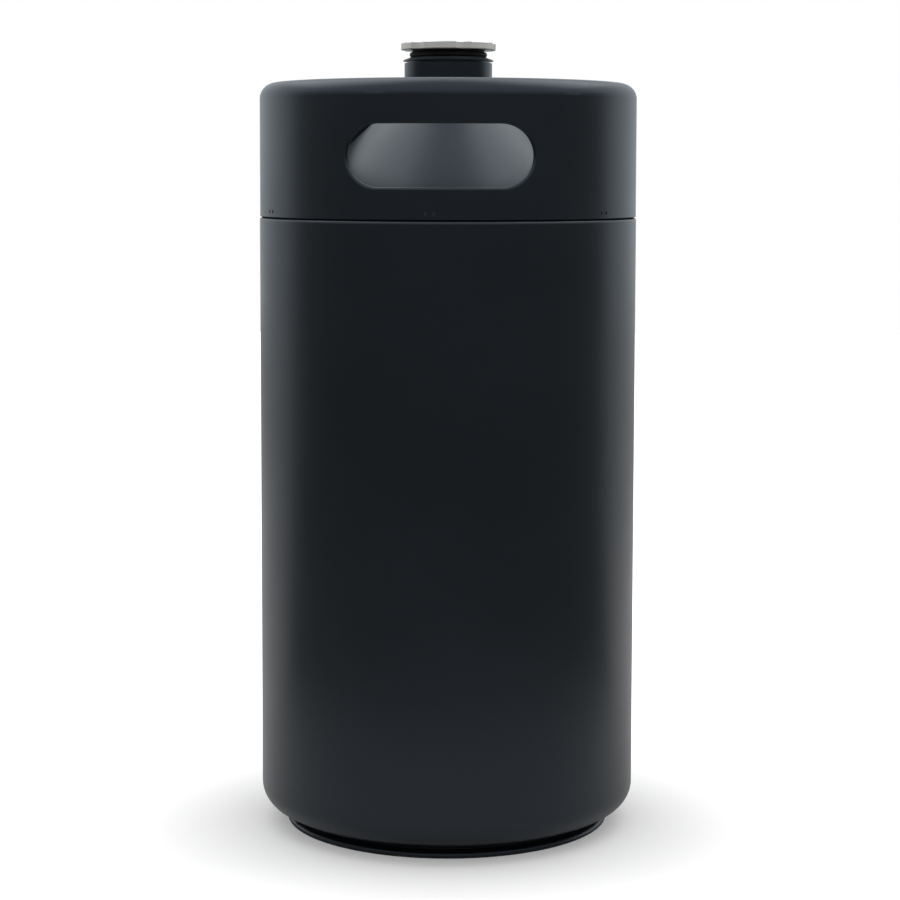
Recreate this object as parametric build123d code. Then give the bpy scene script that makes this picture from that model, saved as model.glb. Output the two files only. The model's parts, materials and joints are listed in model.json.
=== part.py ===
from build123d import *

import os
from math import atan, degrees, radians, tan

# Double-walled mini keg with a welded handle collar and a screw-in lid. Millimetres, +Z up.
# The foot stands on Z = 0, the axis of the keg is the Z axis and the front hand hole faces -Y.
# Angles round the keg are in degrees from the front, and grow towards +X.

# Outer body
body_radius = 80.25
shell_wall = 1.0
seam_height = 259.9  # top edge of the body tube
seam_edge_radius = 0.7
corner_height = 16.5  # where the body starts to curve in
corner_radius = 10.4
corner_turn = 66.0
base_edge_height = 4.1
base_edge_radius = 1.6
base_flange_width = 7.0

# Foot ring and outer base
foot_groove_depth = 4.0  # how far the band of the foot stands in from the edge of the body
foot_wall = 1.0
foot_toe_width = 5.6  # how far the toe stands out from the band, along the floor
foot_toe_height = 2.4
foot_toe_radius = 1.2
foot_edge_radius = 0.35
dish_rim_inset = 2.2
dish_rim_width = 6.5
dish_rise = 7.0
dish_slope_width = 7.0
dish_bend_radius = 2.0
port_radius = 1.5
port_dimple_radius = 8.0
port_dimple_depth = 2.4
port_dimple_slope = 2.0
port_bend_radius = 0.5
seal_radius = 5.0
seal_thickness = 1.8
port_cap_radius = 15.0
port_cap_rim = 2.4
port_cap_depth = 1.2
port_cap_wall = 0.6

# Shoulder dome between the body and the neck
rim_height = 7.0  # how far the turned-up rim stands above the seam
trough_depth = 7.5
trough_radius = 1.5
dome_mid_radius = 41.6
dome_mid_height = 32.4  # above the seam, as the next two
dome_root_height = 52.0
dome_bend_reach = 27.8  # how far the bend runs along the dome on each side of its middle

# Neck
neck_radius = 18.65
neck_sleeve_wall = 1.2
neck_height = 67.9  # mouth of the neck above the seam
neck_sink = 2.8  # how far the tube of the neck runs down through the dome
neck_weld_leg = 1.8
flange_radius = 19.15
flange_thickness = 1.65
flange_chamfer_width = 3.05
flange_chamfer_height = 1.15
flange_gap = 0.8
bush_length = 28.0
bush_spigot_radius = 15.4
bush_spigot_length = 8.0
thread_bore_radius = 13.3
thread_bore_depth = 12.6
thread_relief_radius = 14.8
thread_relief_end = 16.2
seal_bore_radius = 12.9
bore_chamfer = 0.4

# Screw thread of the neck and the plug
thread_pitch = 3.0
thread_height = 1.35
thread_crest_width = 0.8
thread_flank = 0.52  # axial run of a flank for each unit of its height
thread_half_turns = 7
thread_run_out = 2  # half turns that the groove of the neck runs past each end of the ridge
thread_play = 0.3  # radial room between the plug and the neck
thread_side_play = 0.15
thread_root_sink = 0.4  # how far the ridge is let into the core that carries it

# Inner vessel
vacuum_gap = 6.0
inner_wall = 0.7
dome_gap = 9.8  # height between the two domes
inner_corner_radius = 6.0
inner_skirt = 8.0
inner_base_height = 22.0
inner_base_radius = 18.0
foil_thickness = 0.3
foil_margin = 5.0
getter_cup_radius = 7.0
getter_cup_height = 3.0
getter_cup_wall = 0.5
getter_pellet_height = 1.9

# Handle collar
collar_step = 0.15  # how far the collar stands in from the body
collar_gap = 0.6  # open joint between the body and the collar
collar_height = 56.8
collar_rim_radius = 6.6
collar_rim_flat = 3.0
collar_lip_radius = 2.5
collar_lip_drop = 2.0
hand_hole_width = 74.0
hand_hole_height = 25.2
hand_hole_rise = 13.4  # lower edge of the hole above the seam
hand_hole_flange = 2.4
hand_hole_edge_radius = 1.0
spot_radius = 0.7
spot_spacing = 3.5
spot_rise = 3.0
spot_sink = 0.3
spot_pair_angles = (-63.4, -2.7, 54.8, 116.0, 175.0, 236.0)

# Lid
head_radius = 20.1
head_thickness = 3.1
head_edge = 0.35
lobe_count = 6
lobe_angle = -8.2
scallop_radius = 5.5
scallop_depth = 1.5
head_recess_radius = 12.0
head_recess_depth = 0.5
gasket_height = 2.95
gasket_seat_radius = 12.8
gasket_radius = 16.45
gasket_lip_radius = 15.3
gasket_lip_height = 0.75
gasket_edge_radius = 0.9
plug_thread_top = 0.6  # below the mouth, as the next four
plug_thread_end = 13.4
plug_relief_end = 14.9
plug_end = 21.6
ring_groove_top = 17.4
plug_relief_radius = 12.2
plug_nose_radius = 12.4
plug_hollow_radius = 8.6
plug_hollow_roof = 3.0
plug_chamfer = 0.6
ring_section = 1.7
ring_groove_side = 0.2
running_gap = 0.05
gasket_gap = 0.1

# Sizes that follow from those above
spigot_radius = body_radius - shell_wall
corner_vertex = corner_height - corner_radius * tan(radians(corner_turn / 2))
base_edge = body_radius - (corner_vertex - base_edge_height) * tan(radians(corner_turn))
flange_inner = base_edge - base_flange_width
foot_band = base_edge - foot_groove_depth
foot_reach = foot_band + foot_toe_width
dish_floor = base_edge_height + shell_wall
dish_top = dish_floor + dish_rise
port_roof = dish_top + port_dimple_depth
shoulder_wall = shell_wall
plug_core_radius = thread_bore_radius - thread_play
collar_radius = body_radius - collar_step
collar_wall = collar_radius - spigot_radius
vessel_radius = spigot_radius - vacuum_gap
dome_slope = (dome_mid_height + trough_depth) / (spigot_radius - shoulder_wall - dome_mid_radius)
root_slope = (dome_root_height - dome_mid_height) / (dome_mid_radius - neck_radius)
dome_bend_radius = dome_bend_reach / tan(abs(atan(dome_slope) - atan(root_slope)) / 2)
dome_inner_end = bush_spigot_radius / 2
vessel_corner = seam_height + dome_mid_height - dome_gap - (vessel_radius - dome_mid_radius) * dome_slope
vessel_tube_top = vessel_corner - inner_skirt
vessel_tube_foot = inner_base_height + inner_base_radius + inner_skirt
mouth_height = seam_height + neck_height
sleeve_radius = neck_radius - neck_sleeve_wall
sleeve_top = mouth_height - flange_thickness - flange_gap
head_floor = mouth_height + gasket_height
thread_base_width = thread_crest_width + 2 * thread_flank * thread_height
thread_start = mouth_height - plug_thread_end + thread_base_width / 2 + plug_chamfer
whole_height = head_floor + head_thickness


def turned(outline):
    """Turns a closed outline of (radius, height) round the axis of the keg."""
    return revolve(Plane.XZ * make_face(outline), Axis.Z)


def turned_points(*points):
    """Turns a polygon of (radius, height) points."""
    return turned(Polyline(*points, close=True))


def pressed(path, wall, side):
    """Turns a sheet that has its face on the path and its wall on one side of it."""
    return turned(offset(path, amount=wall, side=side))


def turned_depths(*points):
    """Turns a polygon of (radius, depth below the mouth of the neck) points."""
    return turned_points(*[(radius, mouth_height - depth) for radius, depth in points])


def ring(inner, outer, low, high):
    """A plain ring between two radii and two heights."""
    return turned_points((inner, low), (outer, low), (outer, high), (inner, high))


def disc(radius, low, high):
    """A plain round bar between two heights."""
    return Pos(0, 0, low) * Cylinder(radius, high - low, align=(Align.CENTER, Align.CENTER, Align.MIN))


def at_angle(angle):
    """Turns a thing made at the front of the keg to its angle."""
    return Rot(0, 0, angle)


def helical_bar(inner, outer, inner_width, outer_width, start, half_turns):
    """A bar of tapered section that climbs round the axis: a thread's ridge, or the tool for its groove."""
    corners = [
        (inner, start - inner_width / 2),
        (inner, start + inner_width / 2),
        (outer, start + outer_width / 2),
        (outer, start - outer_width / 2),
    ]
    rise = thread_pitch / 2
    faces = []
    for i in range(half_turns):
        place = Pos(0, 0, i * rise) * at_angle(i * 180)
        curves = [place * Pos(0, 0, low) * Helix(thread_pitch, rise, radius) for radius, low in corners]
        lines = [curve.edge() for curve in curves]
        faces += [Face.make_surface_from_curves(*pair) for pair in zip(lines, lines[1:] + lines[:1])]
        if i == 0:
            faces.append(Face(Wire.make_polygon([line @ 0 for line in lines], close=True)))
    faces.append(Face(Wire.make_polygon([line @ 1 for line in lines], close=True)))
    return Solid(Shell(faces))


def make_outer_body():
    path = FilletPolyline(
        (body_radius, seam_height),
        (body_radius, corner_vertex),
        (base_edge, base_edge_height),
        (flange_inner, base_edge_height),
        radius=[corner_radius, base_edge_radius],
    )
    body = pressed(path, shell_wall, Side.RIGHT)
    rim = body.edges().filter_by(GeomType.CIRCLE).filter_by_position(Axis.Z, seam_height, seam_height)
    return fillet(rim.sort_by(SortBy.RADIUS)[-1], seam_edge_radius)


def make_foot_ring():
    band = ring(foot_band - foot_wall, foot_band, 0, base_edge_height)
    foot = band + ring(foot_band, foot_reach, 0, foot_toe_height)
    foot = fillet(foot.edges().group_by(Axis.Z)[0], foot_edge_radius)
    rims = foot.edges().filter_by(GeomType.CIRCLE)
    toe_rims = rims.filter_by_position(Axis.Z, foot_toe_height, foot_toe_height)
    return fillet(toe_rims.sort_by(SortBy.RADIUS)[-1], foot_toe_radius)


def make_outer_base():
    slope_top = flange_inner - dish_slope_width
    path = FilletPolyline(
        (base_edge - dish_rim_inset, dish_floor),
        (base_edge - dish_rim_inset - dish_rim_width, dish_floor),
        (slope_top - dish_rim_inset, dish_top),
        (port_dimple_radius, dish_top),
        (port_dimple_radius - port_dimple_slope, port_roof),
        (port_radius, port_roof),
        radius=[dish_bend_radius, dish_bend_radius, port_bend_radius, port_bend_radius],
    )
    return pressed(path, shell_wall, Side.RIGHT)


def make_vacuum_seal():
    bead = disc(seal_radius, port_roof - seal_thickness, port_roof)
    return bead + disc(port_radius, port_roof - seal_thickness, port_roof + shell_wall)


def make_port_cap():
    rim = dish_top - port_cap_wall
    path = Polyline(
        (port_cap_radius, rim),
        (port_cap_radius - port_cap_rim, rim),
        (port_cap_radius - port_cap_rim - port_cap_depth, rim - port_cap_depth),
        (0, rim - port_cap_depth),
    )
    return pressed(path, port_cap_wall, Side.RIGHT)


def make_outer_shoulder():
    mid = seam_height + dome_mid_height
    path = FilletPolyline(
        (spigot_radius - shoulder_wall, seam_height + rim_height),
        (spigot_radius - shoulder_wall, seam_height - trough_depth),
        (dome_mid_radius, mid),
        (dome_inner_end, mid + (dome_mid_radius - dome_inner_end) * root_slope),
        radius=[trough_radius, dome_bend_radius],
    )
    dome = pressed(path, shoulder_wall, Side.LEFT)
    return dome - disc(neck_radius, seam_height, mouth_height)


def make_neck_sleeve():
    return ring(sleeve_radius, neck_radius, seam_height + dome_root_height - neck_sink, sleeve_top)


def make_neck_weld(shoulder):
    root = seam_height + dome_root_height
    bead = turned_points(
        (neck_radius, root - neck_weld_leg),
        (neck_radius + neck_weld_leg, root - neck_weld_leg - neck_weld_leg * root_slope),
        (neck_radius + neck_weld_leg, root - neck_weld_leg * root_slope),
        (neck_radius, root + neck_weld_leg),
    )
    return (bead - shoulder).solids().sort_by(Axis.Z)[-1]


def make_neck_bush():
    spigot_top = bush_length - bush_spigot_length
    bush = turned_depths(
        (thread_bore_radius + bore_chamfer, 0),
        (flange_radius - flange_chamfer_width, 0),
        (flange_radius, flange_chamfer_height),
        (flange_radius, flange_thickness),
        (sleeve_radius, flange_thickness),
        (sleeve_radius, spigot_top),
        (bush_spigot_radius, spigot_top),
        (bush_spigot_radius, bush_length),
        (seal_bore_radius, bush_length),
        (seal_bore_radius, thread_relief_end + bore_chamfer),
        (seal_bore_radius + bore_chamfer, thread_relief_end),
        (thread_relief_radius, thread_relief_end),
        (thread_relief_radius, thread_bore_depth),
        (thread_bore_radius, thread_bore_depth),
        (thread_bore_radius, bore_chamfer),
    )
    groove_height = thread_height + thread_play
    mouth_width = thread_base_width + 2 * thread_side_play
    groove = helical_bar(
        plug_core_radius,
        plug_core_radius + groove_height,
        mouth_width,
        mouth_width - 2 * thread_flank * groove_height,
        thread_start - thread_run_out * thread_pitch / 2,
        thread_half_turns + 2 * thread_run_out,
    )
    return bush - groove


def make_inner_shoulder():
    mid = seam_height + dome_mid_height - dome_gap
    path = FilletPolyline(
        (vessel_radius, vessel_tube_top),
        (vessel_radius, vessel_corner),
        (dome_mid_radius, mid),
        (dome_inner_end, mid + (dome_mid_radius - dome_inner_end) * root_slope),
        radius=[inner_corner_radius, dome_bend_radius],
    )
    dome = pressed(path, inner_wall, Side.LEFT)
    return dome - disc(bush_spigot_radius, vessel_tube_top, mouth_height)


def make_inner_base():
    path = FilletPolyline(
        (vessel_radius, vessel_tube_foot),
        (vessel_radius, inner_base_height),
        (0, inner_base_height),
        radius=inner_base_radius,
    )
    return pressed(path, inner_wall, Side.RIGHT)


def make_inner_body():
    return ring(vessel_radius - inner_wall, vessel_radius, vessel_tube_foot, vessel_tube_top)


def make_radiation_foil():
    low = vessel_tube_foot + foil_margin
    return ring(vessel_radius, vessel_radius + foil_thickness, low, vessel_tube_top - foil_margin)


def make_getter_cup():
    low = inner_base_height - getter_cup_height
    cup = disc(getter_cup_radius, low, inner_base_height)
    return cup - disc(getter_cup_radius - getter_cup_wall, low, inner_base_height - getter_cup_wall)


def make_getter_pellet():
    roof = inner_base_height - getter_cup_wall
    return disc(getter_cup_radius - getter_cup_wall, roof - getter_pellet_height, roof)


def obround_bar(width, height):
    """A bar with full-round ends that runs forwards from the axis, at the height of the hand holes."""
    middle = seam_height + hand_hole_rise + hand_hole_height / 2
    face = Plane.XZ * SlotOverall(width, height)
    return Pos(0, 0, middle) * extrude(face, body_radius + shell_wall)


def spot_bars():
    """One bar for each spot weld of the collar, which points outwards from the axis."""
    side = degrees(spot_spacing / 2 / collar_radius)
    bar = Pos(0, 0, seam_height + spot_rise) * extrude(Plane.XZ * Circle(spot_radius), body_radius)
    return [at_angle(angle + turn) * bar for angle in spot_pair_angles for turn in (-side, side)]


def is_hole_edge(edge):
    """True for the outer edges of the hand holes, which lie on the face of the collar."""
    box = edge.bounding_box()
    low = seam_height + hand_hole_rise - collar_wall
    high = seam_height + hand_hole_rise + hand_hole_height + collar_wall
    middle = edge @ 0.5
    reach = Vector(middle.X, middle.Y).length
    return box.min.Z > low and box.max.Z < high and reach > collar_radius - collar_wall / 2


def make_handle_collar():
    top = seam_height + collar_height
    lip = collar_radius - collar_rim_radius - collar_rim_flat - collar_lip_radius
    path = FilletPolyline(
        (collar_radius, seam_height + collar_gap),
        (collar_radius, top),
        (lip, top),
        (lip, top - collar_lip_radius - collar_lip_drop),
        radius=[collar_rim_radius, collar_lip_radius],
    )
    collar = pressed(path, collar_wall, Side.LEFT)
    hole = obround_bar(hand_hole_width, hand_hole_height)
    grown = obround_bar(hand_hole_width + 2 * collar_wall, hand_hole_height + 2 * collar_wall)
    band_foot = seam_height + rim_height
    band = ring(spigot_radius - hand_hole_flange, spigot_radius, band_foot, top - collar_rim_radius)
    for angle in (0, 180):
        collar += at_angle(angle) * (band & grown)
    for angle in (0, 180):
        collar -= at_angle(angle) * hole
    collar = fillet([edge for edge in collar.edges() if is_hole_edge(edge)], hand_hole_edge_radius)
    seam_band = ring(spigot_radius - shoulder_wall, body_radius, seam_height, band_foot)
    for bar in spot_bars():
        collar -= bar & seam_band
    return collar


def make_collar_spot_welds():
    shell = ring(spigot_radius, collar_radius - spot_sink, seam_height, seam_height + rim_height)
    return Compound(children=[nugget for bar in spot_bars() for nugget in (bar & shell).solids()])


def lid_head():
    head = disc(head_radius, head_floor, whole_height)
    scallop_reach = head_radius - scallop_depth + scallop_radius
    scallop = Pos(0, -scallop_reach, 0) * disc(scallop_radius, head_floor, whole_height)
    for i in range(lobe_count):
        head -= at_angle(lobe_angle + (i + 0.5) * 360 / lobe_count) * scallop
    head = chamfer(head.faces().filter_by(GeomType.PLANE).edges(), head_edge)
    return head - disc(head_recess_radius, whole_height - head_recess_depth, whole_height)


def plug_stem():
    groove_end = ring_groove_top + ring_section + 2 * ring_groove_side
    groove_floor = seal_bore_radius - running_gap - ring_section
    return turned_depths(
        (0, -gasket_height),
        (gasket_seat_radius, -gasket_height),
        (gasket_seat_radius, plug_thread_top),
        (plug_core_radius, plug_thread_top),
        (plug_core_radius, plug_thread_end - plug_chamfer),
        (plug_core_radius - plug_chamfer, plug_thread_end),
        (plug_relief_radius, plug_thread_end),
        (plug_relief_radius, plug_relief_end),
        (plug_nose_radius, plug_relief_end),
        (plug_nose_radius, ring_groove_top),
        (groove_floor, ring_groove_top),
        (groove_floor, groove_end),
        (plug_nose_radius, groove_end),
        (plug_nose_radius, plug_end - plug_chamfer),
        (plug_nose_radius - plug_chamfer, plug_end),
        (plug_hollow_radius, plug_end),
        (plug_hollow_radius, plug_hollow_roof),
        (0, plug_hollow_roof),
    )


def make_lid_plug():
    ridge = helical_bar(
        plug_core_radius - thread_root_sink,
        plug_core_radius + thread_height,
        thread_base_width + 2 * thread_flank * thread_root_sink,
        thread_crest_width,
        thread_start,
        thread_half_turns,
    )
    return lid_head() + plug_stem() + ridge


def make_plug_o_ring():
    radius = ring_section / 2
    middle = mouth_height - ring_groove_top - radius - ring_groove_side
    return Pos(0, 0, middle) * Torus(seal_bore_radius - running_gap - radius, radius)


def make_lid_gasket():
    bore = gasket_seat_radius + gasket_gap
    low = mouth_height + running_gap
    high = head_floor - running_gap
    section = make_face(
        Polyline(
            (bore, low),
            (gasket_radius, low),
            (gasket_radius, high - gasket_lip_height),
            (gasket_lip_radius, high - gasket_lip_height),
            (gasket_lip_radius, high),
            (bore, high),
            close=True,
        )
    )
    bulge = [v for v in section.vertices() if v.X > (gasket_radius + gasket_lip_radius) / 2]
    return revolve(Plane.XZ * fillet(bulge, gasket_edge_radius), Axis.Z)


shoulder = make_outer_shoulder()
parts = {
    "outer_body": make_outer_body(),
    "foot_ring": make_foot_ring(),
    "outer_base": make_outer_base(),
    "vacuum_seal": make_vacuum_seal(),
    "port_cap": make_port_cap(),
    "outer_shoulder": shoulder,
    "neck_sleeve": make_neck_sleeve(),
    "neck_weld": make_neck_weld(shoulder),
    "neck_bush": make_neck_bush(),
    "inner_shoulder": make_inner_shoulder(),
    "inner_body": make_inner_body(),
    "inner_base": make_inner_base(),
    "radiation_foil": make_radiation_foil(),
    "getter_cup": make_getter_cup(),
    "getter_pellet": make_getter_pellet(),
    "handle_collar": make_handle_collar(),
    "collar_spot_welds": make_collar_spot_welds(),
    "lid_plug": make_lid_plug(),
    "plug_o_ring": make_plug_o_ring(),
    "lid_gasket": make_lid_gasket(),
}

os.makedirs("parts", exist_ok=True)
for name, part in parts.items():
    part.label = name
    export_step(part, f"parts/{name}.step")
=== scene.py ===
import json
import math

import bmesh
import bpy
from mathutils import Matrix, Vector

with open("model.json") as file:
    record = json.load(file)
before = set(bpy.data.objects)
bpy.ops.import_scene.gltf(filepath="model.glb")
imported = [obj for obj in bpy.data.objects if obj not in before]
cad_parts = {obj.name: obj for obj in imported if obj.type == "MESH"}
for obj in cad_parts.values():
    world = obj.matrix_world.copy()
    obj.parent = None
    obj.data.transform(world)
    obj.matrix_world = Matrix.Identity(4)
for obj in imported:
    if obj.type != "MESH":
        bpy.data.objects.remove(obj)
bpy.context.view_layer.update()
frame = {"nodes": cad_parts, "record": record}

parts = frame["nodes"]
print("keg loaded:", len(parts), "parts")

# lengths are in metres but for the camera's lens, and a noise is its scale, detail and roughness
noiseRange = (0.3, 0.7)  # where nearly all values of a noise lie
white = (1, 1, 1, 1)


# small helpers for node trees
def feed(tree, node, inputs):
    for name, value in inputs.items():
        if isinstance(value, bpy.types.NodeSocket):
            tree.links.new(value, node.inputs[name])
        else:
            node.inputs[name].default_value = value


def addNode(tree, kind, inputs=None, **settings):
    node = tree.nodes.new(kind)
    for name, value in settings.items():
        setattr(node, name, value)
    feed(tree, node, inputs or {})
    return node


def maths(tree, operation, first, second=0.0):
    inputs = {0: first, 1: second}
    return addNode(tree, "ShaderNodeMath", inputs, operation=operation).outputs[0]


def startMaterial(name):
    material = bpy.data.materials.new(name)
    material.use_nodes = True
    tree = material.node_tree
    place = addNode(tree, "ShaderNodeTexCoord").outputs["Object"]
    return material, tree, tree.nodes["Principled BSDF"], place


def split(tree, vector):
    return addNode(tree, "ShaderNodeSeparateXYZ", {"Vector": vector}).outputs


def stretched(tree, place, scale):
    return addNode(tree, "ShaderNodeMapping", {"Vector": place, "Scale": scale}).outputs["Vector"]


def noise(tree, place, scale, detail, roughness):
    inputs = {"Vector": place, "Scale": scale, "Detail": detail, "Roughness": roughness}
    return addNode(tree, "ShaderNodeTexNoise", inputs).outputs["Fac"]


def spread(tree, value, low, high, fromLow=0.0, fromHigh=1.0):
    inputs = {
        "Value": value,
        "From Min": fromLow,
        "From Max": fromHigh,
        "To Min": low,
        "To Max": high,
    }
    return addNode(tree, "ShaderNodeMapRange", inputs).outputs["Result"]


def bandMask(tree, value, low, high, fade):
    # 1 from low to high, and 0 from a fade beyond them
    rising = spread(tree, value, 0.0, 1.0, low - fade, low)
    falling = spread(tree, value, 1.0, 0.0, high, high + fade)
    return maths(tree, "MULTIPLY", rising, falling)


def mixColour(tree, share, first, second):
    # a mix node has its two colours on sockets 6 and 7, and their mix on output 2
    inputs = {0: share, 6: first, 7: second}
    return addNode(tree, "ShaderNodeMix", inputs, data_type="RGBA").outputs[2]


def mixValue(tree, share, first, second):
    return addNode(tree, "ShaderNodeMix", {0: share, 2: first, 3: second}).outputs[0]


def bump(tree, height, depth, under=None):
    inputs = {"Height": height, "Distance": depth, "Strength": 1.0}
    if under:
        inputs["Normal"] = under
    return addNode(tree, "ShaderNodeBump", inputs).outputs["Normal"]


# powder coat of the shell, the neck and the foot
coat = {
    "colour": (0.0048, 0.0068, 0.0090, 1),
    "colourLight": (0.0064, 0.0088, 0.0114, 1),
    "blotch": (16.0, 3.0, 0.55),
    "roughness": (0.31, 0.37),
    "specular": 0.50,
    "tint": (0.78, 0.89, 1.0, 1),
    "peel": (1100.0, 1.0, 0.5),  # soft orange peel, about a millimetre across
    "peelDepth": 0.000006,
    "grain": (5200.0, 2.0, 0.6),
    "grainDepth": 0.000003,
    "paintedJointShade": (0.0005, 0.0005, 0.0006, 1),
    "joint": (0.2599, 0.2606),  # painted shade darkens the open joint under the collar
    "jointFade": 0.0002,
    "paintedHighlight": (0.030, 0.036, 0.042, 1),
    "edge": (0.2590, 0.2597),  # painted highlight along the top edge of the body
    "edgeFade": 0.0003,
    "paintedMouthHighlight": (0.060, 0.066, 0.073, 1),
    "mouth": (0.3268, 0.3277),  # painted highlight on the bevel of the mouth
    "mouthFade": 0.0002,
    "scuffColour": (0.055, 0.057, 0.060, 1),
    "scuffTop": (0.0003, 0.0011),  # rubbed where the foot slides on a table
    "scuff": (240.0, 6.0, 0.7),
    "scuffRange": (0.50, 0.62),  # of that noise, from no scuff to a full one
    "scuffRoughness": 0.6,
}


def coatRelief(tree, place, under=None):
    peel = bump(tree, noise(tree, place, *coat["peel"]), coat["peelDepth"], under)
    return bump(tree, noise(tree, place, *coat["grain"]), coat["grainDepth"], peel)


def startCoat(name):
    material, tree, shader, place = startMaterial(name)
    feed(tree, shader, {
        "Specular IOR Level": coat["specular"],
        "Specular Tint": coat["tint"],
    })
    blotch = noise(tree, place, *coat["blotch"])
    return material, tree, shader, place, blotch


def makePowderCoat():
    material, tree, shader, place, blotch = startCoat("powderCoat")
    height = split(tree, place)["Z"]
    # painted shade in the open joint under the collar
    joint = bandMask(tree, height, *coat["joint"], coat["jointFade"])
    # painted highlight along the top edge of the body
    edge = bandMask(tree, height, *coat["edge"], coat["edgeFade"])
    # painted highlight on the bevel of the mouth
    mouth = bandMask(tree, height, *coat["mouth"], coat["mouthFade"])
    low = spread(tree, height, 1.0, 0.0, *coat["scuffTop"])
    rubbed = spread(tree, noise(tree, place, *coat["scuff"]), 0.0, 1.0, *coat["scuffRange"])
    scuff = maths(tree, "MULTIPLY", low, rubbed)
    tone = mixColour(tree, blotch, coat["colour"], coat["colourLight"])
    tone = mixColour(tree, edge, tone, coat["paintedHighlight"])
    tone = mixColour(tree, mouth, tone, coat["paintedMouthHighlight"])
    tone = mixColour(tree, scuff, tone, coat["scuffColour"])
    rough = spread(tree, blotch, *coat["roughness"], *noiseRange)
    dull = maths(tree, "MAXIMUM", joint, maths(tree, "MULTIPLY", scuff, coat["scuffRoughness"]))
    feed(tree, shader, {
        "Base Color": mixColour(tree, joint, tone, coat["paintedJointShade"]),
        "Roughness": maths(tree, "MAXIMUM", rough, dull),
        "Normal": coatRelief(tree, place),
    })
    return material


# nuggets of the spot welds, which lie a little rough under the powder, lightened by a painted
# highlight
spotWeld = {
    # painted highlight: the spots are coloured lighter than the coat round them
    "colour": (0.020, 0.023, 0.026, 1),
    "roughness": (0.34, 0.44),
    "pits": (2400.0, 2.0, 0.5),
    "pitDepth": 0.00006,
}


def makeSpotCoat():
    material, tree, shader, place, blotch = startCoat("spotCoatPaintedHighlight")
    pits = bump(tree, noise(tree, place, *spotWeld["pits"]), spotWeld["pitDepth"])
    feed(tree, shader, {
        # the spots blend towards the painted highlight colour
        "Base Color": mixColour(tree, blotch, spotWeld["colour"], coat["paintedHighlight"]),
        "Roughness": spread(tree, blotch, *spotWeld["roughness"]),
        "Normal": coatRelief(tree, place, pits),
    })
    return material


# weld round the root of the neck, its coins softened by the powder
neckWeld = {
    "roughness": (0.32, 0.42),
    "coinCount": 96,
    "coinDepth": 0.00012,
    "wander": (90.0, 2.0, 0.5),
    "wanderReach": 2.5,  # radians of a coin's wave, so that the coins aren't all alike
}


def makeWeldCoat():
    material, tree, shader, place, blotch = startCoat("weldCoat")
    parted = split(tree, place)
    turn = maths(tree, "ARCTAN2", parted["Y"], parted["X"])
    wander = noise(tree, place, *neckWeld["wander"])
    wander = maths(tree, "MULTIPLY", wander, neckWeld["wanderReach"])
    wave = maths(tree, "ADD", maths(tree, "MULTIPLY", turn, neckWeld["coinCount"]), wander)
    coins = maths(tree, "SINE", wave)
    ripple = bump(tree, spread(tree, coins, 0, 1, -1, 1), neckWeld["coinDepth"])
    feed(tree, shader, {
        "Base Color": mixColour(tree, blotch, coat["colour"], coat["colourLight"]),
        "Roughness": spread(tree, coins, *neckWeld["roughness"], -1, 1),
        "Normal": coatRelief(tree, place, ripple),
    })
    return material


# steel of the lid, blasted round the rim of its head and turned everywhere else
lidSteel = {
    "rim": (0.3308, 0.3333),
    "rimFade": 0.00005,
    "metallic": (1.0, 0.7),  # turned, and blasted, which scatters more than a bright metal
    "markless": 0.5,  # height where a finish has no marks
    "blastedColour": (0.83, 0.795, 0.75, 1),
    "blastedDark": (0.75, 0.715, 0.675, 1),
    "blastedRoughness": (0.68, 0.80),
    "streak": (120.0, 4.0, 0.6),
    "streakStretch": (1, 1, 14),
    "grain": (3600.0, 2.0, 0.5),
    "grainDepth": 0.000004,
    "turnedColour": (0.64, 0.63, 0.615, 1),
    "turnedDark": (0.50, 0.49, 0.475, 1),
    "turnedRoughness": (0.26, 0.40),
    "rings": (2600.0, 3.0, 0.6),  # marks of the tool, a few tenths of a millimetre apart
    "ringDepth": 0.000012,
}


def makeLidSteel():
    material, tree, shader, place = startMaterial("lidSteel")
    parted = split(tree, place)
    rim = bandMask(tree, parted["Z"], *lidSteel["rim"], lidSteel["rimFade"])
    streak = noise(tree, stretched(tree, place, lidSteel["streakStretch"]), *lidSteel["streak"])
    # the tool's marks run round the axis, so their noise reads the radius and the height alone
    squares = [maths(tree, "POWER", parted[axis], 2.0) for axis in ("X", "Y")]
    radius = maths(tree, "SQRT", maths(tree, "ADD", *squares))
    section = addNode(tree, "ShaderNodeCombineXYZ", {"X": radius, "Y": parted["Z"]})
    rings = noise(tree, section.outputs["Vector"], *lidSteel["rings"])
    blasted = mixColour(tree, streak, lidSteel["blastedDark"], lidSteel["blastedColour"])
    turned = mixColour(tree, rings, lidSteel["turnedDark"], lidSteel["turnedColour"])
    dull = spread(tree, streak, *lidSteel["blastedRoughness"], *noiseRange)
    bright = spread(tree, rings, *lidSteel["turnedRoughness"], *noiseRange)
    grooves = mixValue(tree, rim, rings, lidSteel["markless"])
    grain = mixValue(tree, rim, lidSteel["markless"], noise(tree, place, *lidSteel["grain"]))
    relief = bump(tree, grooves, lidSteel["ringDepth"])
    feed(tree, shader, {
        "Base Color": mixColour(tree, rim, turned, blasted),
        "Metallic": spread(tree, rim, *lidSteel["metallic"]),
        "Roughness": mixValue(tree, rim, bright, dull),
        "Normal": bump(tree, grain, lidSteel["grainDepth"], relief),
    })
    return material


# drawn steel of the inner vessel
vesselSteel = {
    "colour": (0.56, 0.555, 0.54, 1),
    "colourDark": (0.47, 0.465, 0.45, 1),
    "roughness": (0.22, 0.34),
    "drawn": (700.0, 3.0, 0.6),
    "drawStretch": (1, 1, 0.03),
    "drawDepth": 0.000008,
}


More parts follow.
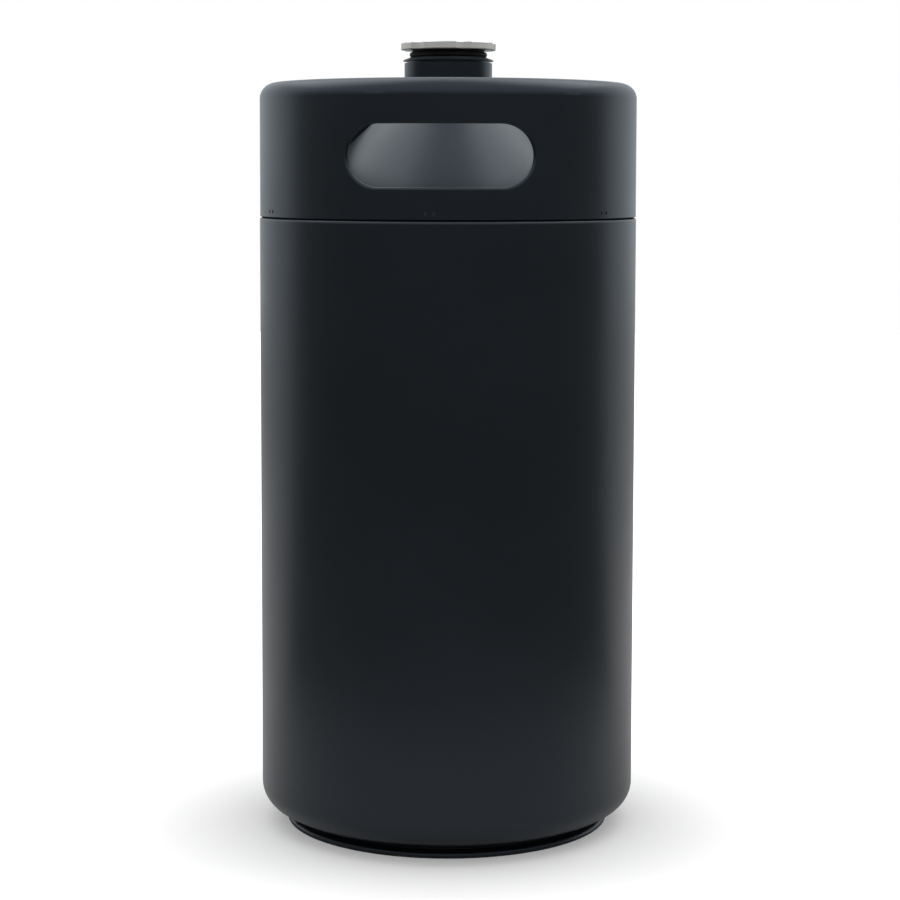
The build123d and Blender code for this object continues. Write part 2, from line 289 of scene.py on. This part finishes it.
def makeVesselSteel():
    material, tree, shader, place = startMaterial("drawnSteel")
    lines = stretched(tree, place, vesselSteel["drawStretch"])
    drawn = noise(tree, lines, *vesselSteel["drawn"])
    feed(tree, shader, {
        "Base Color": mixColour(tree, drawn, vesselSteel["colourDark"], vesselSteel["colour"]),
        "Metallic": 1.0,
        "Roughness": spread(tree, drawn, *vesselSteel["roughness"], *noiseRange),
        "Normal": bump(tree, drawn, vesselSteel["drawDepth"]),
    })
    return material


# rubber of the gasket and the ring
rubber = {
    "colour": (0.0035, 0.0035, 0.0038, 1),
    "bloom": (0.011, 0.011, 0.0115, 1),
    "gasketBloom": 0.8,
    "ringBloom": 0.4,
    "roughness": (0.55, 0.72),
    "specular": 0.3,
    "dust": (260.0, 5.0, 0.65),
    "dustRange": (0.1, 0.6),
    "skin": (2600.0, 3.0, 0.5),
    "skinDepth": 0.00001,
}


def makeRubber(name, bloomShare):
    material, tree, shader, place = startMaterial(name)
    dust = maths(tree, "MULTIPLY", noise(tree, place, *rubber["dust"]), bloomShare)
    feed(tree, shader, {
        "Base Color": mixColour(tree, dust, rubber["colour"], rubber["bloom"]),
        "Specular IOR Level": rubber["specular"],
        "Roughness": spread(tree, dust, *rubber["roughness"], *rubber["dustRange"]),
        "Normal": bump(tree, noise(tree, place, *rubber["skin"]), rubber["skinDepth"]),
    })
    return material


# what hides between the walls: copper foil, the getter's pellet and glass solder
foil = {
    "colour": (0.78, 0.44, 0.29, 1),
    "colourDark": (0.66, 0.32, 0.19, 1),
    "roughness": (0.18, 0.34),
    "rolled": (500.0, 4.0, 0.6),
    "rollStretch": (1, 1, 0.05),
    "rollDepth": 0.00001,
    "crinkle": (90.0, 3.0, 0.6),
    "crinkleDepth": 0.0003,
}


def makeFoil():
    material, tree, shader, place = startMaterial("rolledFoil")
    rolled = noise(tree, stretched(tree, place, foil["rollStretch"]), *foil["rolled"])
    crinkle = bump(tree, noise(tree, place, *foil["crinkle"]), foil["crinkleDepth"])
    feed(tree, shader, {
        "Base Color": mixColour(tree, rolled, foil["colourDark"], foil["colour"]),
        "Metallic": 1.0,
        "Roughness": spread(tree, rolled, *foil["roughness"], *noiseRange),
        "Normal": bump(tree, rolled, foil["rollDepth"], crinkle),
    })
    return material


pellet = {
    "colour": (0.13, 0.13, 0.13, 1),
    "poreColour": (0.05, 0.05, 0.052, 1),
    "metallic": 0.6,
    "roughness": (0.75, 0.55),  # in a pore, and between the pores
    "poreScale": 2400.0,
    "poreDepth": 0.0001,
}


def makeSintered():
    material, tree, shader, place = startMaterial("sinteredGetter")
    cells = addNode(tree, "ShaderNodeTexVoronoi", {"Vector": place, "Scale": pellet["poreScale"]})
    pores = cells.outputs["Distance"]
    feed(tree, shader, {
        "Base Color": mixColour(tree, pores, pellet["poreColour"], pellet["colour"]),
        "Metallic": pellet["metallic"],
        "Roughness": spread(tree, pores, *pellet["roughness"]),
        "Normal": bump(tree, pores, pellet["poreDepth"]),
    })
    return material


solder = {
    "colour": (0.055, 0.062, 0.052, 1),
    "colourDark": (0.022, 0.027, 0.022, 1),
    "roughness": (0.12, 0.28),
    "flow": (420.0, 3.0, 0.55),
    "flowDepth": 0.00012,
}


def makeSolder():
    material, tree, shader, place = startMaterial("fusedSolder")
    flow = noise(tree, place, *solder["flow"])
    feed(tree, shader, {
        "Base Color": mixColour(tree, flow, solder["colourDark"], solder["colour"]),
        "Roughness": spread(tree, flow, *solder["roughness"], *noiseRange),
        "Normal": bump(tree, flow, solder["flowDepth"]),
    })
    return material


def dress():
    finishes = {
        "powder_coat": makePowderCoat(),
        "lid_steel": makeLidSteel(),
        "vessel_steel": makeVesselSteel(),
        "gasket_rubber": makeRubber("gasketRubber", rubber["gasketBloom"]),
        "ring_rubber": makeRubber("ringRubber", rubber["ringBloom"]),
        "copper_foil": makeFoil(),
        "getter_alloy": makeSintered(),
        "solder_glass": makeSolder(),
    }
    for row in frame["record"]["subparts"]:
        parts[row["node"]].material_slots[0].material = finishes[row["material_slot"]]
    # the welds are coated too, over a rougher ground
    parts["collar_spot_welds"].material_slots[0].material = makeSpotCoat()
    parts["neck_weld"].material_slots[0].material = makeWeldCoat()
    print("finishes:", ", ".join(sorted(m.name for m in finishes.values())))


dress()


# the set round the keg
studio = {
    "floorSize": 6.0,
    "floorColour": (0.80, 0.80, 0.80, 1),
    "floorRoughness": 0.9,
    "floorSpecular": 0.1,
    "floorGlow": (0.24, 1.0),  # by the keg and further out, seen by the camera alone
    "floorFade": (0.08, 0.24),  # from the keg's axis
    "roomStrength": (0.62, 1.0),  # as it lights the set, and as it is seen and reflected
    "roomCool": (0.86, 0.94, 1.0, 1),  # the walls as the coat and the lid reflect them
    "lampHeight": 1.25,
    "lampSize": (1.05, 0.85),
    "lampReach": 0.56,
    "lampBack": 0.32,
    "lampAim": (0, 0, 0.25),
    "lampRadiance": (1.3, 1.5),  # left, right
    "clothStart": 0.30,
    "clothHeight": 0.004,
    "screenRadius": 1.9,
    "screenHeight": 0.78,
    "screenHalfTurn": 106.5,  # degrees to each side of its middle
    "screenSide": 4.5,  # degrees to the right of the front
    "screenSteps": 48,
    "screenTone": 0.15,
}


def rayShare(tree, *names):
    rays = addNode(tree, "ShaderNodeLightPath").outputs
    total = rays[names[0]]
    for name in names[1:]:
        total = maths(tree, "MAXIMUM", total, rays[name])
    return total


def addProp(name, shape):
    mesh = bpy.data.meshes.new(name)
    shape.to_mesh(mesh)
    shape.free()
    prop = bpy.data.objects.new(name, mesh)
    bpy.context.scene.collection.objects.link(prop)
    return prop


def makeFloor():
    shape = bmesh.new()
    bmesh.ops.create_grid(shape, x_segments=1, y_segments=1, size=studio["floorSize"] / 2)
    floor = addProp("studioFloor", shape)
    material, tree, shader, place = startMaterial("floorPaper")
    reach = addNode(tree, "ShaderNodeVectorMath", {0: place}, operation="LENGTH").outputs["Value"]
    glow = spread(tree, reach, *studio["floorGlow"], *studio["floorFade"])
    feed(tree, shader, {
        "Base Color": studio["floorColour"],
        "Roughness": studio["floorRoughness"],
        "Specular IOR Level": studio["floorSpecular"],
        "Emission Color": white,
        "Emission Strength": maths(tree, "MULTIPLY", rayShare(tree, "Is Camera Ray"), glow),
    })
    floor.data.materials.append(material)


def makeRoom():
    world = bpy.data.worlds.new("studioRoom")
    bpy.context.scene.world = world
    world.use_nodes = True
    tree = world.node_tree
    shown = rayShare(tree, "Is Camera Ray", "Is Glossy Ray", "Is Transmission Ray")
    reflected = rayShare(tree, "Is Glossy Ray")
    feed(tree, tree.nodes["Background"], {
        "Color": mixColour(tree, reflected, white, studio["roomCool"]),
        "Strength": spread(tree, shown, *studio["roomStrength"]),
    })


def makeScreen():
    # dark cloth on the floor and a dark flat round the front, which only show in reflections
    half = math.radians(studio["screenHalfTurn"])
    start = math.radians(studio["screenSide"]) - half
    outline = [
        (studio["clothStart"], studio["clothHeight"]),
        (studio["screenRadius"], studio["clothHeight"]),
        (studio["screenRadius"], studio["screenHeight"]),
    ]
    shape = bmesh.new()
    points = [
        shape.verts.new((radius * math.sin(start), -radius * math.cos(start), height))
        for radius, height in outline
    ]
    edges = [shape.edges.new(pair) for pair in zip(points, points[1:])]
    bmesh.ops.spin(
        shape,
        geom=points + edges,
        cent=(0, 0, 0),
        axis=(0, 0, 1),
        angle=2 * half,
        steps=studio["screenSteps"],
    )
    screen = addProp("darkFlat", shape)
    screen.visible_camera = False
    screen.visible_diffuse = False
    screen.visible_shadow = False
    screen.visible_transmission = False
    material = bpy.data.materials.new("darkCloth")
    material.use_nodes = True
    tree = material.node_tree
    tree.nodes.remove(tree.nodes["Principled BSDF"])
    cloth = addNode(tree, "ShaderNodeEmission", {"Strength": studio["screenTone"]})
    feed(tree, tree.nodes["Material Output"], {"Surface": cloth.outputs[0]})
    screen.data.materials.append(material)


def addLamp(name, place, target, size, radiance):
    lamp = bpy.data.lights.new(name, "AREA")
    lamp.shape = "RECTANGLE"
    lamp.size, lamp.size_y = size
    lamp.energy = radiance * math.pi * size[0] * size[1]
    item = bpy.data.objects.new(name, lamp)
    item.location = place
    item.rotation_euler = (Vector(target) - Vector(place)).to_track_quat("-Z", "Y").to_euler()
    bpy.context.scene.collection.objects.link(item)


makeFloor()
makeRoom()
makeScreen()
for name, side, radiance in zip(("leftLamp", "rightLamp"), (-1, 1), studio["lampRadiance"]):
    place = (side * studio["lampReach"], studio["lampBack"], studio["lampHeight"])
    addLamp(name, place, studio["lampAim"], studio["lampSize"], radiance)
print("studio ready")


# camera, at about the height of the hand hole
view = {
    "distance": 0.9967,
    "height": 0.2804,
    "side": math.radians(2.6),  # how far it stands to the right of the front
    "down": math.radians(5.083),  # how far it looks below the horizon
    "aside": math.radians(0.046),  # how far it looks to the right of the keg's axis
    "lean": math.radians(-0.121),
    "lens": 92.95,  # millimetres, and so is the sensor
    "sensor": 36.0,
    "shift": -0.082,  # in widths of the sensor
    "clipStart": 0.01,
}


def makeCamera():
    camera = bpy.data.objects.new("studioCamera", bpy.data.cameras.new("studioCamera"))
    camera.data.sensor_width = view["sensor"]
    camera.data.lens = view["lens"]
    camera.data.clip_start = view["clipStart"]
    camera.data.shift_y = view["shift"]
    camera.location = (
        view["distance"] * math.sin(view["side"]),
        -view["distance"] * math.cos(view["side"]),
        view["height"],
    )
    turn = view["side"] - view["aside"]
    camera.rotation_euler = (math.pi / 2 - view["down"], view["lean"], turn)
    bpy.context.scene.collection.objects.link(camera)
    bpy.context.scene.camera = camera


makeCamera()
bpy.context.scene.view_settings.view_transform = "Standard"

print("keg and view ready")
